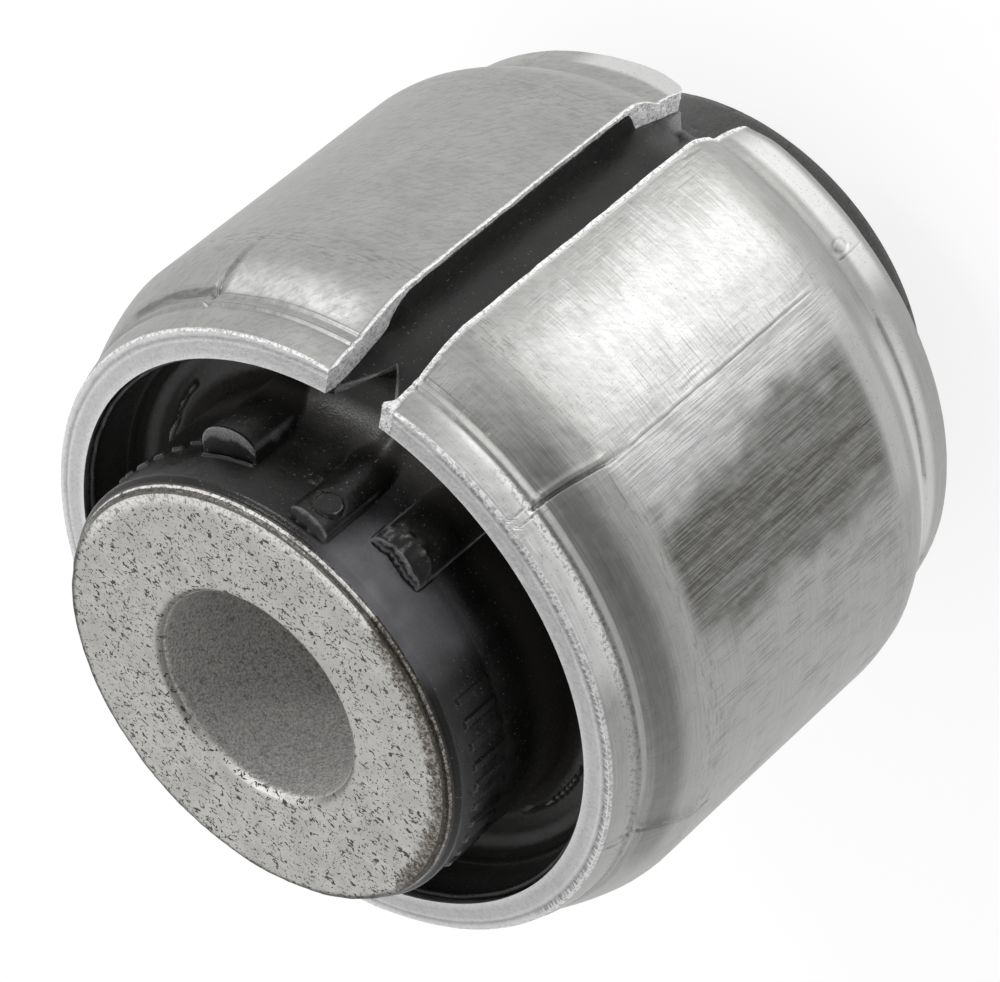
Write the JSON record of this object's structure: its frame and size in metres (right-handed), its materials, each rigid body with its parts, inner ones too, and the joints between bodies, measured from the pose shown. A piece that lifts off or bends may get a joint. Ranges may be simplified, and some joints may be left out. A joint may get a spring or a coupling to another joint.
{
  "type": "rubber metal bush",
  "caption": "Bonded suspension bush: a thick steel sleeve with a bolt bore, held by moulded rubber in a slit aluminium shell with drawn-in ends.",
  "frame": {"origin": "centre of the foot end face of the steel sleeve, on the axis, at the level that the bush stands on", "axes": "+Z along the bush's axis towards the end that the picture shows; the shell's slit faces -Y"},
  "size_m": [0.0466, 0.0465, 0.048],
  "materials": {
    "steel": "flat pressed end faces with small dark pits and worn, slightly stained edges",
    "rubber": "black moulded rubber with a faint sheen",
    "aluminium_shell": "satin drawn aluminium with fine scratches, die marks and bright burrs on its edges"
  },
  "bodies": {
    "root": {"inner_sleeve": "steel", "rubber_body": "rubber", "outer_sleeve": "aluminium_shell"}
  },
  "joints": []
}
